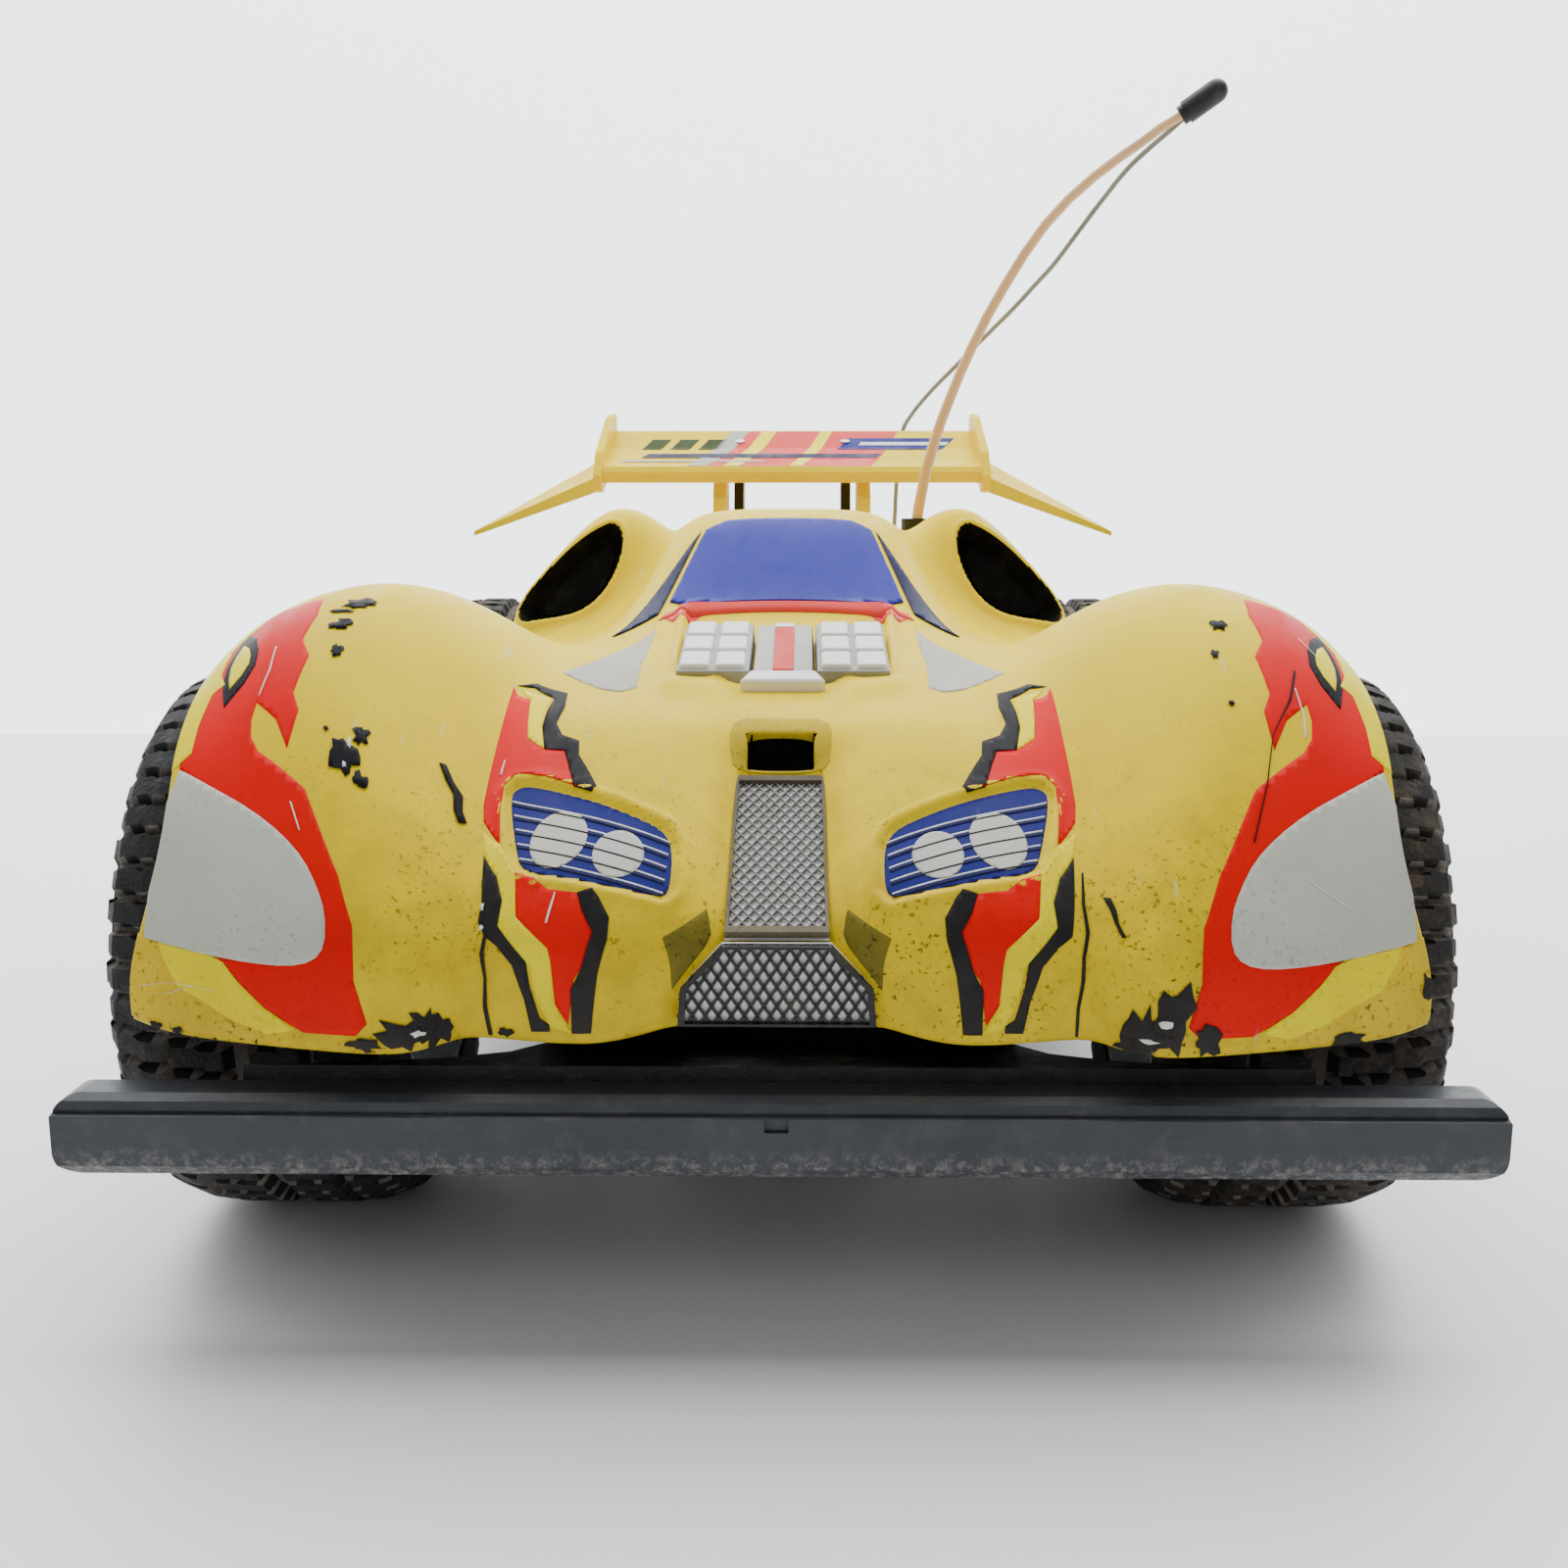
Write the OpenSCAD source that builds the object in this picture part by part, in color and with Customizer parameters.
// Radio-controlled drift car with a one-piece body shell on a plastic tub chassis.
// Millimetres. Ground at z = 0, car's nose toward -Y, +X to the right when facing the nose.

/* [Wheels and axles] */
// radius of the tyres over the tread
tyre_r = 49.5; // [40:0.5:60]
// width of a tyre
tyre_w = 45; // [30:1:60]
// outer face of the tyres from the centreline
track_half = 108; // [95:1:120]
// front axle position
front_y = -96.5; // [-110:0.5:-80]
// rear axle position
rear_y = 111.5; // [90:0.5:125]
// radius of the rims
rim_r = 31; // [25:0.5:36]
// axle and stub diameter
axle_d = 5; // [4:0.5:8]
// radial clearance of running fits
run_gap = 0.05; // [0.02:0.01:0.1]

/* [Steering] */
// kingpin distance from the centreline
kingpin_x = 72; // [66:0.5:76]
// kingpin diameter
kingpin_d = 3; // [2:0.5:5]
// steering arm length from the kingpin to the bar pin
steer_arm = 16; // [12:0.5:20]
// length of the servo horn
horn_len = 18.5; // [14:0.5:22]
// diameter of the bar pins
bar_pin_d = 3; // [2:0.5:4]

/* [Drive] */
// gear module
gear_module = 0.8; // [0.6:0.1:1.2]
// spur gear teeth
spur_teeth = 42; // [30:1:50]
// pinion teeth
pinion_teeth = 12; // [10:1:18]
// motor can radius
motor_r = 14; // [10:0.5:16]

/* [Body] */
// wall of the body shell
shell_t = 1.6; // [1.2:0.1:3]
// height of the shell's front edge
nose_z = 50; // [48:0.5:54]
// clearance from the top of the front tyres to the highest point of the fenders
arch_gap = 15.5; // [13:0.5:20]
// width of the front bumper
bumper_w = 216; // [180:1:240]
// height of the front bumper
bumper_h = 12.5; // [8:0.5:20]
// bottom of the front bumper
bumper_z = 28.5; // [20:0.5:35]
// half span of the rear wing's main plane
wing_half = 57.5; // [45:0.5:70]
// leading edge of the wing
wing_y = 105; // [95:1:115]
// chord of the wing
wing_chord = 44; // [30:1:50]
// height of the wing's leading edge
wing_z = 134; // [125:0.5:145]
// upward pitch of the wing in degrees
wing_pitch = 19; // [0:1:30]
// reach of the drooping winglets past the main plane
winglet_reach = 42.5; // [30:0.5:50]

/* [Chassis] */
// ground clearance under the tub
ground_gap = 14; // [8:0.5:20]
// thickness of the tub floor and walls
tub_t = 3; // [2:0.5:5]
// height of the tub walls
tub_h = 28; // [20:1:35]

/* [Antenna] */
// antenna rod diameter at the base
rod_d0 = 3.2; // [2:0.1:5]
// antenna rod diameter at the tip
rod_d1 = 2.3; // [1.5:0.1:4]
// antenna wire diameter
wire_d = 1.4; // [0.8:0.1:2]

/* [Hidden] */
$fn = 64;
gap = 0.4;
deck_z = ground_gap + tub_h;
floor_z = ground_gap + tub_t;
stub_len = 31;
hub_in = 84;
hub_out = 99;
spur_r = gear_module * spur_teeth / 2;
pinion_r = gear_module * pinion_teeth / 2;
motor_y = rear_y - spur_r - pinion_r - 0.1;
bush_r = axle_d / 2 + 2.5;
flange_r = bush_r + 1.5;
axle_way = flange_r + 0.5;
bar_z = tyre_r - 1.1;
bar_t = 3;
bar_y = front_y + steer_arm;
horn_y = bar_y + horn_len;
arm_y = 12;
knuckle_h = 19.2;
tower_half = 38;
arm_t = 3;
arm_top = tyre_r + knuckle_h / 2 + gap;
arm_low = tyre_r - knuckle_h / 2 - gap - arm_t;
servo_top = bar_z - 4.4;
rail_depth = 4.2;
tyre_wall = 7;
lug_count = 32;
lug_gap = 3.4;
lug_depth = 3;
black = [0.1, 0.1, 0.11];
yellow = [0.98, 0.86, 0.1];
grey = [0.35, 0.36, 0.39];
silver = [0.75, 0.76, 0.78];
red = [0.85, 0.12, 0.12];
blue = [0.36, 0.36, 0.8];
cream = [0.9, 0.76, 0.58];

// The shell and what stands on it are drawn for 99 mm tyres on a 216 mm track. Spread moves a width
// out to the track that is set, and lift moves a height up to clear the tyres that are set.
drawn_half = 108;
drawn_nose_z = 50;
drawn_fender_z = 114.5;
shell_k = (2 * tyre_r + arch_gap - nose_z) / (drawn_fender_z - drawn_nose_z);
function spread(x) = x * track_half / drawn_half;
function lift(z) = nose_z + (z - drawn_nose_z) * shell_k;
function slope(a) = atan(tan(a) * shell_k);

// Body shell stations. Each row is a line across the right half of the shell, centre to edge,
// and the rows run from the lower front edge over the nose, hood, roof and deck to the tail.
drawn_rows = [
  [[0,-153.5,50],[15.2,-153.5,50],[17.5,-154.5,49.5],[26,-157.5,48],[36,-156,48],[44.5,-155,48.5],
   [47.5,-155.5,48.5],[51,-158.5,48],[56,-161,47.5],[67,-159,47.5],[80,-157,48],
   [92,-155.5,49],[98,-153,50.5]],
  [[0,-154.5,56],[14.8,-154.5,56],[17.2,-156,56],[26,-158,57],[36,-157,57],[44.5,-155.5,57],[47.5,-156,57],
   [52,-159,57],[57,-161,57],[68,-159,57],[81,-156.5,56],[92.5,-155,55.5],[98.5,-152.5,56]],
  [[0,-156,64],[8.2,-155.5,64],[11.5,-157,66],[26,-158,68],[36,-157,68],[44.5,-154.5,66],[47.5,-154.5,65],
   [53,-157.5,65],[58.5,-160,65.5],[69,-158,65.5],[81,-155,64.5],[92.5,-152.5,63],[97.5,-151,62.5]],
  [[0,-143,69.5],[7.9,-143,69.5],[10.8,-146,75],[26,-145,77],[36,-145,76.5],[44.5,-144,75],[47.5,-145,74],
   [55,-150,75.5],[62,-153,77],[71,-150,77.5],[82,-145.5,77],[90.5,-146.5,76],[94.5,-146.5,75.5]],
  [[0,-130,76],[7.8,-130,76],[10.6,-132,82],[24,-131,84.5],[35,-131,84],[44.5,-131,83],[47.5,-132,83],
   [57,-137,87.5],[66,-140.5,90],[75,-138,90.5],[84,-135.5,89.5],[91.5,-137.5,88],[95.5,-139,85.5]],
  [[0,-118,82.6],[7.8,-118,82.6],[10.6,-119.5,88.5],[23,-118,90.5],[35,-118,90.5],[44.5,-118,90],
   [47.8,-118.5,91],[59,-122,98],[70,-126.5,101],[79,-126,100.5],[87,-126,98.5],
   [93,-127,95.5],[96.5,-131.5,91.5]],
  [[0,-115.5,90.5],[8,-115.5,90.5],[12,-114,91.5],[23,-107,92.5],[35,-106,93.5],[44.5,-106,94.5],
   [48.5,-106,97.5],[59,-107,106],[72,-111,110],[81,-111.5,109],[88.5,-113,106],
   [94.5,-115,102],[97,-120.5,98]],
  [[0,-93,93.5],[10,-93,93.5],[20.5,-93,94],[23.5,-92,94.5],[35,-91,96],[44,-91,98],[49,-91,102],
   [59,-91,110.5],[71,-92,114.5],[81,-93,113.5],[89,-94,111],[95,-96,107.5],[98.5,-97,103.5]],
  [[0,-66,99],[10,-66,99],[20.5,-66,99],[23.5,-66,99],[35,-68,99],[43.5,-70,99.5],[49,-70,102],
   [59,-68,109],[71,-68,112.5],[81,-68,112],[89,-70,109],[95,-73,105],[98.5,-75,101]],
  [[0,-38,104.5],[10,-38,104.3],[20,-39,103.5],[27,-42,102],[34,-46,100],[41.5,-52,98],[48,-52,98.5],
   [58,-50,102],[70,-49,104],[80,-50,102.5],[88,-52,98],[94,-54,91],[97.5,-53,84.5]],
  [[0,-12,114.5],[10,-12,114.3],[19,-13,113],[26,-16,110.5],[33,-22,105],[40,-26,98],[48,-26,95.5],
   [58,-26,95.5],[68,-28,94],[76,-32,89],[83,-35,80],[88,-37,68],[90,-38,54]],
  [[0,14,124.5],[9,14,124.5],[17,14,124],[23,13,123],[30.5,8,118],[36,4,104],[44,0,95.5],
   [55,0,93.5],[65,0,91],[72,0,85],[77,-2,74],[79,-4,60],[79,-5,46]],
  [[0,28,126.3],[9,28,126.3],[17,28,126],[23.5,28,125],[30.5,27,120],[34,26,112],[40,26,103],
   [52,26,95.5],[63,25,94],[70,25,89],[76,24,78],[78,22,62],[78,20,46]],
  [[0,38,126.8],[9,38,126.8],[17,38,126.5],[23.5,38,125.5],[30.5,36,120.5],[34.5,34,117],[40,33,110],
   [51,32,98],[62,31.5,95.5],[71,31.5,91],[77,32,80],[79,32,64],[79,32,48]],
  [[0,46,126.5],[9,46,126.5],[17,46,126],[23.5,46,125],[29.5,44,121],[34,42,122.5],[40,40,127],
   [48,38.5,128],[56,38,121.5],[65,37,111.5],[73,36.5,102],[78.5,38,88],[78.5,44,72]],
  [[0,66,122],[9,66,122],[17,66,121.5],[23,66,120.5],[28.5,62,118],[33,60,121],[40,58,126.5],
   [48,57,128],[56,56,122.5],[64,55,114],[71,54,106],[75,55,98],[76,57,91]],
  [[0,100,112],[9,100,112],[17,100,111.5],[23,100,111],[29,98,111],[34,97,114],[40,96,119],
   [47,96,121.5],[55,96,119],[62,95,114],[68,94,110],[73,92,107.5],[76,92,105.5]],
  [[0,136,99],[9,136,99],[17,136,99],[23,136,99],[29,135,99],[34,134,100.5],[40,133,103.5],
   [47,132,106],[54,131,106],[60,130,105],[66,128,104.5],[71,126,104],[74,125,103.5]],
  [[0,154,90],[9,154,90],[17,154,90],[23,154,90],[29,153,90],[34,152.5,91],[40,152,92.5],
   [46,151,94],[52,149.5,95.5],[58,147,96.5],[63,144,97.5],[67,141,98.5],[70,138,99.5]]
];
shell_rows = [for (r = drawn_rows) [for (p = r) [spread(p[0]), p[1], lift(p[2])]]];
row_last = len(shell_rows) - 1;
col_last = len(shell_rows[0]) - 1;

// height of the wing's lower face at a distance behind its leading edge
function wing_under(d) = wing_z + d * tan(wing_pitch);

rod_bend = [[34.2, 62, 117], [34.8, 61.5, 121], [35.5, 61, 127], [36.4, 60.5, 132], [37.3, 60, 137],
            [39, 59, 143.5], [41, 58, 150], [43.2, 57, 156], [45.7, 55.5, 162.5], [48.5, 54, 169],
            [52.3, 52, 177], [56.5, 49.5, 184.5], [61, 46.5, 192], [66, 44, 199], [71.5, 41, 204.8],
            [77.2, 38.5, 209.6], [82.6, 36, 213.4], [88, 33.5, 216.8], [92, 31.5, 219.6], [96.5, 29.2, 222]];
rod_shift = [spread(rod_bend[0][0]) - rod_bend[0][0], 0, lift(rod_bend[0][2]) - rod_bend[0][2]];
rod_path = [for (p = rod_bend) p + rod_shift];
rod_tip = rod_path[len(rod_path) - 1];
wire_path = [[33, 149, 92], [33.2, 152, 97], [33.6, 155, 105], [34, 157, 115], [34.4, 157.6, 125],
             [34.8, 157.6, 135], [35.4, 156.8, 144], [36.6, 154.5, 152.5], [39, 149.5, 157], [42, 143, 161],
             [45.5, 135.5, 165], [49.5, 127, 169], [53, 120.5, 172.5], [56.5, 114, 176],
             [61, 105, 180.5], [65.5, 96.5, 185], [69.5, 88, 189.5], [73.5, 79.5, 194],
             [78, 69, 200.5], [82.7, 58, 207.3], [87.5, 47, 213.5], [91.5, 39.5, 217], [95, 33, 219.7],
             [97.5, 30.3, 221.9]];

// ---------- surface helpers ----------
function mirror_row(r) = [for (i = [col_last:-1:1]) [-r[i][0], r[i][1], r[i][2]], for (p = r) p];
function clampi(i, n) = min(max(i, 0), n);
function ends(a, i) = let (n = len(a) - 1)
  i < 0 ? 2 * a[0] - a[1] : i > n ? 2 * a[n] - a[n - 1] : a[i];
function blend(a, b, c, d, t) =
  ((1 - t) * (1 - t) * (1 - t) * a + (3 * t * t * t - 6 * t * t + 4) * b
   + (-3 * t * t * t + 3 * t * t + 3 * t + 1) * c + t * t * t * d) / 6;
function along(a, s) = let (i = clampi(floor(s), len(a) - 2), t = s - i)
  blend(ends(a, i - 1), ends(a, i), ends(a, i + 1), ends(a, i + 2), t);
full_rows = [for (r = shell_rows) mirror_row(r)];
// point on the shell: u counts rows, v counts columns from the centreline (negative on the left)
function shell_at(u, v) = let (i = clampi(floor(u), row_last - 1))
  along([for (k = [i - 1:i + 2]) along(ends(full_rows, k), v + col_last)], u - i + 1);
function unit(v) = v / max(norm(v), 0.0001);
function shell_normal(u, v) = let (e = 0.35,
    du = shell_at(min(u + e, row_last), v) - shell_at(max(u - e, 0), v),
    dv = shell_at(u, min(v + e, col_last)) - shell_at(u, max(v - e, -col_last)))
  unit(cross(dv, du));

// closed sheet between two offsets of a grid of points and normals
module sheet(grid, nrm, low, high) {
  m = len(grid);
  n = len(grid[0]);
  top = [for (i = [0:m - 1], j = [0:n - 1]) grid[i][j] + nrm[i][j] * high];
  bot = [for (i = [0:m - 1], j = [0:n - 1]) grid[i][j] + nrm[i][j] * low];
  k = m * n;
  faces = concat(
    [for (i = [0:m - 2], j = [0:n - 2])
      each [[i*n+j, (i+1)*n+j, i*n+j+1], [i*n+j+1, (i+1)*n+j, (i+1)*n+j+1]]],
    [for (i = [0:m - 2], j = [0:n - 2])
      each [[k+i*n+j, k+i*n+j+1, k+(i+1)*n+j], [k+i*n+j+1, k+(i+1)*n+j+1, k+(i+1)*n+j]]],
    [for (j = [0:n - 2]) each [[j, j+1, k+j], [j+1, k+j+1, k+j]]],
    [for (j = [0:n - 2]) let (a = (m-1)*n + j) each [[a, k+a, a+1], [a+1, k+a, k+a+1]]],
    [for (i = [0:m - 2]) let (a = i*n, b = (i+1)*n) each [[a, k+a, b], [b, k+a, k+b]]],
    [for (i = [0:m - 2]) let (a = i*n+n-1, b = (i+1)*n+n-1) each [[a, b, k+a], [b, k+b, k+a]]]);
  polyhedron(concat(top, bot), faces, 10);
}

// panel lying on the shell between rows u0 and u1; v limits run from pair a to pair b
module shell_panel(u0, u1, va, vb, nu, nv, low, high) {
  grid = [for (i = [0:nu]) let (s = i / nu, u = u0 + (u1 - u0) * s, a = va[0] + (vb[0] - va[0]) * s,
      b = va[1] + (vb[1] - va[1]) * s) [for (j = [0:nv]) [u, a + (b - a) * j / nv]]];
  sheet([for (r = grid) [for (q = r) shell_at(q[0], q[1])]],
        [for (r = grid) [for (q = r) shell_normal(q[0], q[1])]], low, high);
}

// round bar swept along a path, radius r0 at the start and r1 at the end
module swept_bar(path, r0, r1, sides) {
  n = len(path) - 1;
  tan = [for (i = [0:n]) unit(path[min(i + 1, n)] - path[max(i - 1, 0)])];
  ref = [1, 0.2, 0];
  pts = [for (i = [0:n]) let (s = unit(cross(tan[i], ref)), c = cross(s, tan[i]), r = r0 + (r1 - r0) * i / n)
    for (k = [0:sides - 1]) path[i] + r * (cos(360 * k / sides) * s + sin(360 * k / sides) * c)];
  faces = concat([[for (k = [0:sides - 1]) k]],
    [for (i = [0:n - 1], k = [0:sides - 1]) let (a = i * sides + k, b = i * sides + (k + 1) % sides)
      each [[a, a + sides, b], [b, a + sides, b + sides]]],
    [[for (k = [sides - 1:-1:0]) n * sides + k]]);
  polyhedron(pts, faces, 10);
}

// ---------- shared shapes ----------
module box2(x0, x1, y0, y1, z0, z1) { translate([x0, y0, z0]) cube([x1 - x0, y1 - y0, z1 - z0]); }
module both_sides() { children(); mirror([1, 0, 0]) children(); }
// place a wheel drawn with its inner face at the origin and its axis along +Z; side is 1 right, -1 left
module on_axle(y, side) {
  translate([side * (track_half - tyre_w), y, tyre_r]) rotate([0, side * 90, 0]) children();
}

module tyre_body() {
  w = tyre_w;
  r = tyre_r;
  difference() {
    rotate_extrude() polygon([[rim_r, 0.5], [r - 11.5, 0], [r - 5.5, 0.6], [r - 2.5, 3], [r - 0.6, 8],
      [r, 13], [r, w / 2 - 1.5], [r - 2, w / 2 - 1], [r - 2, w / 2 + 1], [r, w / 2 + 1.5], [r, w - 13],
      [r - 0.6, w - 8], [r - 2.5, w - 3], [r - 5.5, w - 0.6], [r - 11.5, w], [rim_r, w - 0.5], [rim_r, w - 5],
      [r - tyre_wall, w - tyre_wall], [r - tyre_wall, tyre_wall], [rim_r, 5]]);
    for (k = [0:lug_count - 1], s = [0, 1])
      rotate([0, 0, (k + s / 2) * 360 / lug_count])
        translate([r - lug_depth, -lug_gap / 2, s == 0 ? -1 : w - 12]) cube([lug_depth + 2, lug_gap, 13]);
  }
}

module rim_body(bore_r) {
  w = tyre_w;
  hub_a = hub_in - (track_half - tyre_w);
  hub_b = hub_out - (track_half - tyre_w);
  union() {
    rotate_extrude() polygon([[rim_r - 2, 1], [rim_r, 1], [rim_r, w - 1], [rim_r - 2, w - 1]]);
    rotate_extrude() polygon([[bore_r, hub_a], [7, hub_a], [7, hub_b - 8], [12, hub_b - 8], [12, hub_b - 3],
      [7, hub_b - 2], [7, hub_b], [bore_r, hub_b]]);
    for (k = [0:4]) rotate([0, 0, 72 * k + 18])
      translate([9, -4.5, hub_b - 7.5]) cube([rim_r - 10.3, 9, 4]);
  }
}

module hex_nut(bore_r) {
  difference() {
    union() {
      cylinder(r = 5, h = 3.6, $fn = 6);
      cylinder(r = 5.4, h = 0.8);
    }
    translate([0, 0, -1]) cylinder(r = bore_r, h = 6);
  }
}

module gear(teeth, width, bore_r) {
  pitch = gear_module * teeth / 2;
  root = pitch - 1.2 * gear_module;
  tip = pitch + 0.9 * gear_module;
  half = 90 / teeth;
  difference() {
    linear_extrude(height = width, center = true)
      polygon([for (k = [0:teeth - 1]) let (a = 360 * k / teeth) each [
        [root * cos(a - 2 * half * 0.9), root * sin(a - 2 * half * 0.9)],
        [root * cos(a - half * 1.15), root * sin(a - half * 1.15)],
        [tip * cos(a - half * 0.42), tip * sin(a - half * 0.42)],
        [tip * cos(a + half * 0.42), tip * sin(a + half * 0.42)],
        [root * cos(a + half * 1.15), root * sin(a + half * 1.15)]]]);
    cylinder(r = bore_r, h = width + 2, center = true);
  }
}

module tub_outline(grow) {
  polygon([for (p = [[-38, -126], [38, -126], [38, -48], [56, -40], [56, 50], [50, 62], [50, 142], [44, 148],
    [-44, 148], [-50, 142], [-50, 62], [-56, 50], [-56, -40], [-38, -48]])
    [p[0] + sign(p[0]) * grow, p[1] + sign(p[1]) * grow]]);
}

module knuckle(side) {
  difference() {
    union() {
      translate([side * kingpin_x, front_y, tyre_r]) {
        cylinder(r = 6, h = knuckle_h, center = true);
        rotate([0, side * 90, 0]) cylinder(d = axle_d, h = stub_len);
        rotate([0, side * 90, 0]) cylinder(d = axle_d + 5, h = hub_in - kingpin_x - gap);
        translate([-4, 0, -8]) cube([8, steer_arm, 4]);
        translate([0, steer_arm, -8]) cylinder(r = 4, h = 4);
      }
      translate([side * kingpin_x, bar_y, tyre_r - 6]) cylinder(d = bar_pin_d, h = 9.5);
    }
    translate([side * kingpin_x, front_y, tyre_r - knuckle_h])
      cylinder(d = kingpin_d + 2 * run_gap, h = 2 * knuckle_h);
  }
}

module arms() {
  for (z = [arm_top, arm_low]) difference() {
    union() {
      box2(tower_half, kingpin_x, front_y - arm_y / 2, front_y + arm_y / 2, z, z + arm_t);
      translate([kingpin_x, front_y, z]) cylinder(r = arm_y / 2, h = arm_t);
    }
    translate([kingpin_x, front_y, z - 1]) cylinder(d = kingpin_d, h = arm_t + 2);
  }
  box2(tower_half, tower_half + arm_t, front_y - arm_y / 2, front_y + arm_y / 2, arm_low, arm_top + arm_t);
}

// ---------- chassis ----------
module chassis_tub() {
  color(black) difference() {
    translate([0, 0, ground_gap]) linear_extrude(height = tub_h) tub_outline(0);
    translate([0, 0, floor_z]) linear_extrude(height = tub_h) tub_outline(-tub_t);
    box2(-38, 38, -22, 22, ground_gap - 1, floor_z + 1);
    box2(-33, -27, 66, 80, ground_gap - 1, floor_z + 1);
    for (x = [-30, 30]) box2(x - 5, x + 5, -150, -100, ground_gap + 8, ground_gap + 14);
    // ways for the steering bar and the rear axle, where small wheels bring them down to the walls
    box2(-60, 60, bar_y - 9, bar_y + 9, bar_z - 1.5, bar_z + 20);
    box2(-60, 60, rear_y - axle_way, rear_y + axle_way, tyre_r - axle_way, tyre_r + 20);
  }
}
module chassis_deck() {
  color(black) difference() {
    union() {
      box2(-56, 56, -40, 50, deck_z, deck_z + 2);
      box2(-20, 20, 50, motor_y - motor_r - 1, deck_z, deck_z + 2);
      for (x = [-40, -20, 20, 40]) box2(x - 1, x + 1, -36, 46, deck_z + 2, deck_z + 6);
    }
    box2(-16, 16, -41, horn_y + 28, deck_z - 1, deck_z + 7);
  }
}
module front_bulkhead() {
  color(black) difference() {
    union() {
      box2(-tower_half + tub_t + gap, tower_half - tub_t - gap, -112, -89, floor_z, deck_z);
      box2(-tower_half, tower_half, -112, -89, deck_z, arm_top + arm_t + 2.5);
    }
    for (x = [-19, 19]) box2(x - 14, x + 14, -106, -88, floor_z + 5, arm_top + 0.5);
    box2(-15, 15, -113, -100, floor_z + 13, arm_top - 5.5);
  }
}
module arms_l() { color(grey) mirror([1, 0, 0]) arms(); }
module arms_r() { color(grey) arms(); }
module kingpins() {
  color(silver) both_sides() translate([kingpin_x, front_y, 0]) {
    translate([0, 0, arm_low]) cylinder(d = kingpin_d, h = arm_top + arm_t - arm_low);
    translate([0, 0, arm_top + arm_t]) cylinder(d = kingpin_d + 2.6, h = 2);
    translate([0, 0, arm_low - 1.2]) cylinder(d = kingpin_d + 2, h = 1.2);
  }
}
module bumper_support() {
  color(black) translate([0, -112.5, bumper_z + 2.9]) rotate([12, 0, 180]) {
    linear_extrude(height = 3)
      polygon([[-37, 0.2], [37, 0.2], [39, 10], [44, 24], [53, 32], [66, 37], [82, 40.5],
      [-82, 40.5], [-66, 37], [-53, 32], [-44, 24], [-39, 10]]);
    for (x = [-26, 0, 26]) box2(x - 1.5, x + 1.5, 0.2, 38, -6, 0.1);
  }
}
module front_bumper() {
  z0 = bumper_z;
  z1 = bumper_z + bumper_h;
  color(grey) difference() {
    intersection() {
      rotate([90, 0, 90]) linear_extrude(height = bumper_w, center = true)
        polygon([[-159.4, z0], [-152.6, z0], [-152.6, z0 + 1.8], [-158, z0 + 1.8], [-158, z1 - 2.6],
          [-152.6, z1 - 2.6], [-152.6, z1 - 0.8], [-153.4, z1], [-158.6, z1], [-160.2, z1 - 0.8],
          [-160.6, z1 - 2], [-160.2, z1 - 2.5], [-161, z1 - 2.9], [-161, z0 + 1.8]]);
      translate([0, -140, 0]) rotate([90, 0, 0]) linear_extrude(height = 30) union() {
        box2d(-bumper_w / 2 + 4, bumper_w / 2 - 4, z0 - 1, z1 + 1);
        box2d(-bumper_w / 2, bumper_w / 2, z0 + 4, z1 - 3);
        for (x = [-bumper_w / 2 + 4, bumper_w / 2 - 4]) translate([x, z0 + 4]) circle(r = 4);
        for (x = [-bumper_w / 2 + 4, bumper_w / 2 - 4]) translate([x, z1 - 4]) circle(r = 4);
      }
    }
    box2(-1.8, 1.8, -162, -160.2, z1 - 5, z1 - 2.9);
  }
}
module box2d(x0, x1, y0, y1) { translate([x0, y0]) square([x1 - x0, y1 - y0]); }
module steering_servo() {
  color(black) {
    box2(-10, 10, horn_y - 18, horn_y + 19, floor_z, servo_top);
    translate([0, horn_y, servo_top - 0.1]) cylinder(r = 5, h = 3);
    translate([0, horn_y, servo_top - 1]) cylinder(r = 2.5, h = 11);
  }
}
module battery_pack() {
  color(blue) for (k = [-2:2]) translate([-30, k * 15 + 2, floor_z + 0.6 + 7]) {
    rotate([0, 90, 0]) cylinder(r = 7, h = 60);
    rotate([0, 90, 0]) cylinder(r = 2.5, h = 61.5);
  }
}
module receiver_board() {
  color([0.1, 0.4, 0.2]) box2(-34, 34, -30, 20, deck_z - 6, deck_z - 4.4);
  color(black) {
    box2(-20, -8, -20, -8, deck_z - 4.5, deck_z - 2.5);
    box2(6, 24, -14, 4, deck_z - 4.5, deck_z - 2);
    for (x = [-28, 28]) translate([x, -24, deck_z - 6]) cylinder(r = 2.5, h = 6);
  }
}
module motor() {
  color(silver) translate([8, motor_y, tyre_r]) rotate([0, 90, 0]) {
    cylinder(r = motor_r, h = 30);
    translate([0, 0, 30]) cylinder(r = 5, h = 3);
    translate([0, 0, -3]) cylinder(r = 3, h = 4);
  }
  color(black) box2(8.5, 36, motor_y - 9, motor_y + 9, floor_z, tyre_r - motor_r + 3);
}
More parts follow.
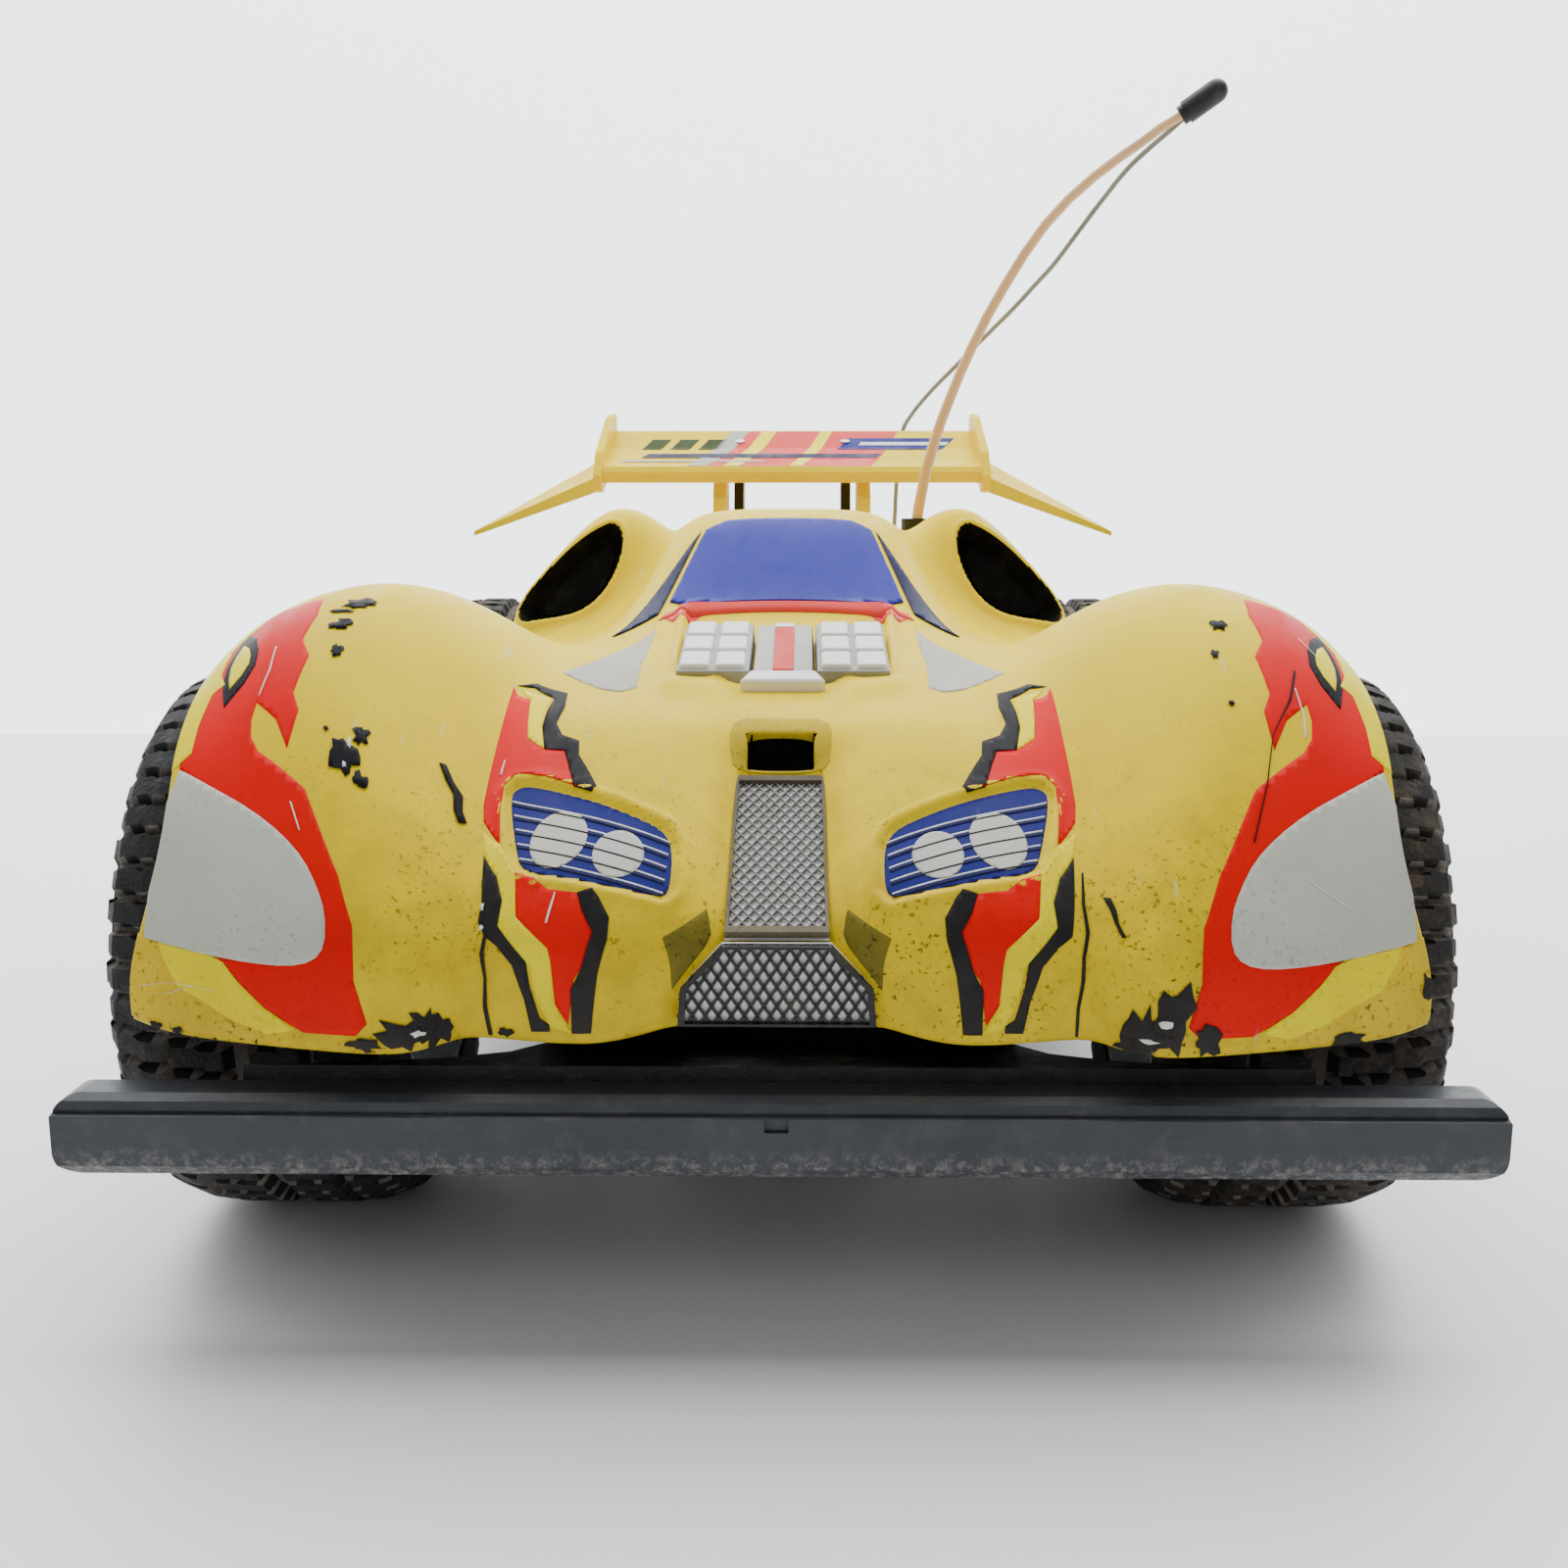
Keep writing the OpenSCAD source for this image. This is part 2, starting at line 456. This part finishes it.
module gearbox_case() {
  color(grey) difference() {
    box2(-8, 8, motor_y - 9.5, rear_y + spur_r + 3.5, tyre_r - spur_r - 3.5, tyre_r + spur_r + 3.5);
    box2(-5.4, 5.4, motor_y - 7, rear_y + spur_r + 1.2, tyre_r - spur_r - 1.2, tyre_r + spur_r + 1.2);
    translate([-10, rear_y, tyre_r]) rotate([0, 90, 0]) cylinder(d = axle_d + 2, h = 20);
    translate([4, motor_y, tyre_r]) rotate([0, 90, 0]) cylinder(r = 3, h = 6);
  }
  color(grey) box2(-8, 8, rear_y - 12, rear_y + 12, floor_z, tyre_r - spur_r - 3.4);
}
module rear_uprights() {
  color(black) both_sides() difference() {
    union() {
      box2(41, 46, rear_y - 14, rear_y + 14, floor_z, tyre_r + 4);
      translate([41, rear_y, tyre_r + 2]) rotate([0, 90, 0]) cylinder(r = bush_r + 5, h = 5);
    }
    translate([40, rear_y, tyre_r]) rotate([0, 90, 0]) cylinder(r = bush_r, h = 8);
  }
}
module axle_bushes() {
  color([0.8, 0.65, 0.3]) both_sides() translate([0, rear_y, tyre_r]) rotate([0, 90, 0]) difference() {
    union() {
      translate([0, 0, 40]) cylinder(r = bush_r, h = 8);
      translate([0, 0, 46]) cylinder(r = flange_r, h = 1.5);
    }
    translate([0, 0, 39]) cylinder(d = axle_d + 2 * run_gap, h = 12);
  }
}
module body_post(foot) {
  translate([foot[0], foot[1], floor_z]) cylinder(r = 3.2, h = foot[2] - shell_t / 2 - floor_z);
}
module body_posts() {
  color(black) both_sides() {
    body_post(shell_at(8.2, 3.25));
    body_post(shell_at(15.6, 6.4));
  }
}
module door_rails() {
  color(black) both_sides() difference() {
    box2(40.4, 46, -34, 46, ground_gap - rail_depth, ground_gap);
    box2(40, 42.7, -28, 47, ground_gap - 2.9, ground_gap + 1);
  }
  color(black) box2(-40.5, 40.5, -34, -28, ground_gap - rail_depth, ground_gap);
}
module rear_valance() {
  color(black) difference() {
    box2(-44, 44, 143, 150, deck_z, 70);
    for (x = [-36:9:36]) box2(x - 2.6, x + 2.6, 142, 151, 49, 64);
    box2(-41, 41, 142, 147, deck_z + 3, 66);
  }
  color(black) both_sides() box2(37, 42, 143, 148.5, 65, lift(88));
}

// ---------- body ----------
module body_shell() {
  nu = 2 * row_last;
  nv = 4 * col_last;
  color(yellow) sheet([for (i = [0:nu]) [for (j = [0:nv]) shell_at(i / 2, j / 2 - col_last)]],
    [for (i = [0:nu]) [for (j = [0:nv]) shell_normal(i / 2, j / 2 - col_last)]], -shell_t, 0);
}
module lattice(outline, x0, x1, y0, y1, pitch, rise) {
  difference() {
    linear_extrude(height = 1, center = true) polygon(outline);
    for (i = [ceil(x0 / pitch):floor(x1 / pitch)], j = [ceil(y0 / rise):floor(y1 / rise)], s = [0, 0.5])
      let (x = (i + s) * pitch, y = (j + s) * rise)
        if (x > x0 && x < x1 && y > y0 && y < y1)
          translate([x, y, -2]) linear_extrude(height = 4)
            polygon([[-pitch * 0.32, 0], [0, -rise * 0.32], [pitch * 0.32, 0], [0, rise * 0.32]]);
  }
}
module grille_lower() {
  color(black) translate([0, -154.3, nose_z + 0.5]) rotate([180 - slope(81), 0, 0])
    lattice([for (p = [[-15, 0], [15, 0], [14.6, 6], [8.2, 13.2], [-8.2, 13.2], [-14.6, 6]])
      [spread(p[0]), p[1] * shell_k]], -9, 9, 1.5, 12.4, 4, 4.6);
}
module grille_upper() {
  color(black) translate([0, -154.6, lift(65.2)]) rotate([slope(26.4), 0, 0])
    lattice([for (p = [[-7.8, 0], [7.8, 0], [7.4, 39.5], [-7.4, 39.5]]) [spread(p[0]), p[1]]],
      -5.6, 5.6, 2, 38.5, 4, 4.6);
}
module hood_vent() { color(black) shell_panel(5.25, 5.75, [-0.55, 0.55], [-0.55, 0.55], 2, 4, -0.3, 0.5); }
module on_hood() { translate([0, -93.5, lift(92.6)]) rotate([slope(11.3), 0, 0]) children(); }
module engine_block() {
  color(silver) on_hood() {
    box2(-19.5, 19.5, 4, 40, -0.5, 1.8);
    box2(-9.6, 9.6, 0, 8, -0.6, 4.6);
    box2(-4.6, 4.6, 7, 39, 1, 3.6);
  }
  color(red) on_hood() box2(-2, 2, 8.5, 38, 3, 4.2);
}
module engine_heads() {
  color([0.9, 0.9, 0.9]) on_hood() both_sides()
    for (k = [0:2]) box2(5.6, 18.6, 8 + k * 10.4, 17.4 + k * 10.4, 1.8, 5.4);
}
module windscreen() { color(blue) shell_panel(9.4, 11.2, [-2.85, 2.85], [-2.4, 2.4], 6, 10, -0.4, 0.7); }
module side_glass() { shell_panel(9.3, 10.85, [3.05, 4.2], [2.6, 2.75], 5, 3, -0.4, 0.7); }
module side_window_r() { color(blue) side_glass(); }
module side_window_l() { color(blue) mirror([1, 0, 0]) side_glass(); }
module pod_mesh() { shell_panel(13.1, 13.95, [6.8, 8.7], [6.5, 9.2], 4, 8, -0.4, 0.6); }
module pod_mesh_r() { color(black) pod_mesh(); }
module pod_mesh_l() { color(black) mirror([1, 0, 0]) pod_mesh(); }
module spoiler_wing() {
  color(yellow) translate([0, wing_y, wing_z]) rotate([wing_pitch, 0, 0]) rotate([90, 0, 90])
    linear_extrude(height = 2 * wing_half, center = true)
      polygon([[0, 0.4], [1.2, 0], [10, -0.6], [26, -0.4], [wing_chord - 1, 1.6], [wing_chord, 3.6],
        [wing_chord - 1.6, 3.9], [28, 2.6], [12, 3.6], [2, 4.8], [0.3, 3.6]]);
}
module winglet() {
  translate([wing_half, wing_y - 2, wing_z - 3]) rotate([wing_pitch, 0, 0]) rotate([90, 0, 90])
    linear_extrude(height = 2.4)
      polygon([[0, 1], [3, -0.6], [34, -1], [47, 3], [48, 11], [38, 12.5], [8, 10.5], [0, 6]]);
  polyhedron([for (p = [[2.3, 1, -2.5], [2.3, 25, 5.5], [2.3, 25, 8.5], [2.3, 1, 2],
      [winglet_reach, 13, -15.8], [winglet_reach, 25, -14.4], [winglet_reach, 25, -13.2],
      [winglet_reach, 13, -14.4]]) p + [wing_half, wing_y, wing_z]],
    [[0, 1, 2], [0, 2, 3], [4, 6, 5], [4, 7, 6], [0, 4, 5], [0, 5, 1], [1, 5, 6], [1, 6, 2], [2, 6, 7],
     [2, 7, 3], [3, 7, 4], [3, 4, 0]], 4);
}
module winglet_r() { color(yellow) winglet(); }
module winglet_l() { color(yellow) mirror([1, 0, 0]) winglet(); }
module wing_posts() {
  color(yellow) both_sides() translate([20, wing_y, 0]) rotate([90, 0, 90]) linear_extrude(height = 4)
    polygon([[-5, lift(110.6)], [17, lift(103.6)], [20, wing_under(20) - 10.9], [19, wing_under(19) - 0.3],
      [5, wing_under(5) - 0.3], [1, wing_under(1) - 4.3]]);
}
module wing_stays() {
  color(black) both_sides() translate([15.4, wing_y, 0]) rotate([90, 0, 90]) linear_extrude(height = 3)
    polygon([[13, lift(105.2)], [27, lift(100.4)], [35, wing_under(35) - 4], [28, wing_under(28) - 0.4],
      [21, wing_under(21) - 5.2]]);
}
module wing_screws() {
  color(silver) both_sides() for (p = [[22, 10], [16.9, 31]])
    translate([p[0], wing_y + p[1], wing_under(p[1]) + 0.6]) rotate([wing_pitch, 0, 0])
      cylinder(r = 1.5, h = 3);
}

// ---------- antenna ----------
module antenna_socket() {
  color(black) translate(rod_path[0]) {
    translate([0, 0, -3]) cylinder(d = rod_d0 + 6.8, h = 5);
    translate([0, 0, 1]) cylinder(d = rod_d0 + 3.6, h = 6);
  }
}
module antenna_rod() { color(cream) swept_bar(rod_path, rod_d0 / 2, rod_d1 / 2, 12); }
module antenna_cap() {
  dir = unit([9.7, -3, 6.5]);
  color(black) translate(rod_tip - [0.3, 0, 0.3]) rotate([0, acos(dir[2]), atan2(dir[1], dir[0])]) {
    cylinder(r = 2.4, h = 1.5);
    translate([0, 0, 1.4]) cylinder(r = 2.9, h = 8.2);
    translate([0, 0, 9.6]) scale(2.9) sphere(r = 1);
  }
}
module antenna_wire() { color(grey) swept_bar(wire_path, wire_d / 2, wire_d / 2, 8); }

// ---------- front wheels and steering ----------
module knuckle_l() { color(black) knuckle(-1); }
module knuckle_r() { color(black) knuckle(1); }
module stub_nut(side) {
  translate([side * (hub_out + gap), front_y, tyre_r]) rotate([0, side * 90, 0]) hex_nut(axle_d / 2);
}
module stub_nut_l() { color(silver) stub_nut(-1); }
module stub_nut_r() { color(silver) stub_nut(1); }
module rim_fl() { color(silver) on_axle(front_y, -1) rim_body(axle_d / 2 + run_gap); }
module rim_fr() { color(silver) on_axle(front_y, 1) rim_body(axle_d / 2 + run_gap); }
module tyre_fl() { color(black) on_axle(front_y, -1) tyre_body(); }
module tyre_fr() { color(black) on_axle(front_y, 1) tyre_body(); }
module steering_bar() {
  pin_slot = bar_pin_d + 0.2;
  color(grey) difference() {
    box2(-kingpin_x - 4.5, kingpin_x + 4.5, bar_y - 4.5, bar_y + 4.5, bar_z, bar_z + bar_t);
    for (x = [-kingpin_x, 0, kingpin_x])
      box2(x - pin_slot / 2, x + pin_slot / 2, bar_y - 2.3, bar_y + 2.3, bar_z - 1, bar_z + bar_t + 1);
  }
}
module servo_horn() {
  color(grey) difference() {
    union() {
      translate([0, horn_y, bar_z + bar_t + gap]) cylinder(r = 5, h = 2.6);
      translate([0, bar_y, bar_z + bar_t + gap]) cylinder(r = 3.4, h = 2.6);
      box2(-2.8, 2.8, bar_y, horn_y, bar_z + bar_t + gap, bar_z + bar_t + gap + 2.6);
      translate([0, bar_y, bar_z + 0.4]) cylinder(d = bar_pin_d, h = bar_t + gap);
    }
    translate([0, horn_y, bar_z]) cylinder(r = 2.5 + run_gap, h = 10);
  }
}

// ---------- rear drive ----------
module rear_axle() {
  color(silver) translate([0, rear_y, tyre_r]) rotate([0, 90, 0])
    cylinder(d = axle_d, h = 2 * (hub_out + 5), center = true);
}
module spur_gear() {
  color([0.9, 0.9, 0.85]) translate([0, rear_y, tyre_r]) rotate([0, 90, 0]) rotate([0, 0, 90]) {
    gear(spur_teeth, 4, axle_d / 2);
    for (s = [-1, 1]) translate([0, 0, s * 3.4]) difference() {
      cylinder(r = 6, h = 3, center = true);
      cylinder(d = axle_d, h = 4, center = true);
    }
  }
}
module rear_nuts() {
  color(silver) both_sides() translate([hub_out, rear_y, tyre_r]) rotate([0, 90, 0]) hex_nut(axle_d / 2);
}
module rim_rl() { color(silver) on_axle(rear_y, -1) rim_body(axle_d / 2); }
module rim_rr() { color(silver) on_axle(rear_y, 1) rim_body(axle_d / 2); }
module tyre_rl() { color(black) on_axle(rear_y, -1) tyre_body(); }
module tyre_rr() { color(black) on_axle(rear_y, 1) tyre_body(); }
module motor_pinion() {
  color([0.8, 0.65, 0.3]) translate([0, motor_y, tyre_r]) rotate([0, 90, 0]) {
    rotate([0, 0, 90 + 180 / pinion_teeth]) gear(pinion_teeth, 5, 1);
    cylinder(r = 1, h = 9.4, center = true);
  }
}

// ---------- moving controls ----------
module power_switch() {
  color(black) {
    box2(-31.7, -28.3, 68, 72, ground_gap - 2, floor_z + 1.6);
    box2(-33.6, -26.4, 66.6, 75.4, floor_z + gap, floor_z + 2.4);
  }
}
module battery_door() {
  color(black) difference() {
    box2(-42.4, 42.4, -24, 26, ground_gap - 2.6, ground_gap - 0.3);
    for (y = [16:3:22]) box2(-8, 8, y, y + 1.2, ground_gap - 3, ground_gap - 2);
  }
}

chassis_tub();
chassis_deck();
front_bulkhead();
arms_l();
arms_r();
kingpins();
bumper_support();
front_bumper();
steering_servo();
battery_pack();
receiver_board();
motor();
gearbox_case();
rear_uprights();
axle_bushes();
body_posts();
door_rails();
rear_valance();
body_shell();
grille_lower();
grille_upper();
hood_vent();
engine_block();
engine_heads();
windscreen();
side_window_l();
side_window_r();
pod_mesh_l();
pod_mesh_r();
spoiler_wing();
winglet_l();
winglet_r();
wing_posts();
wing_stays();
wing_screws();
antenna_socket();
antenna_rod();
antenna_cap();
antenna_wire();
knuckle_l();
stub_nut_l();
rim_fl();
tyre_fl();
knuckle_r();
stub_nut_r();
rim_fr();
tyre_fr();
steering_bar();
servo_horn();
rear_axle();
spur_gear();
rear_nuts();
rim_rl();
tyre_rl();
rim_rr();
tyre_rr();
motor_pinion();
power_switch();
battery_door();
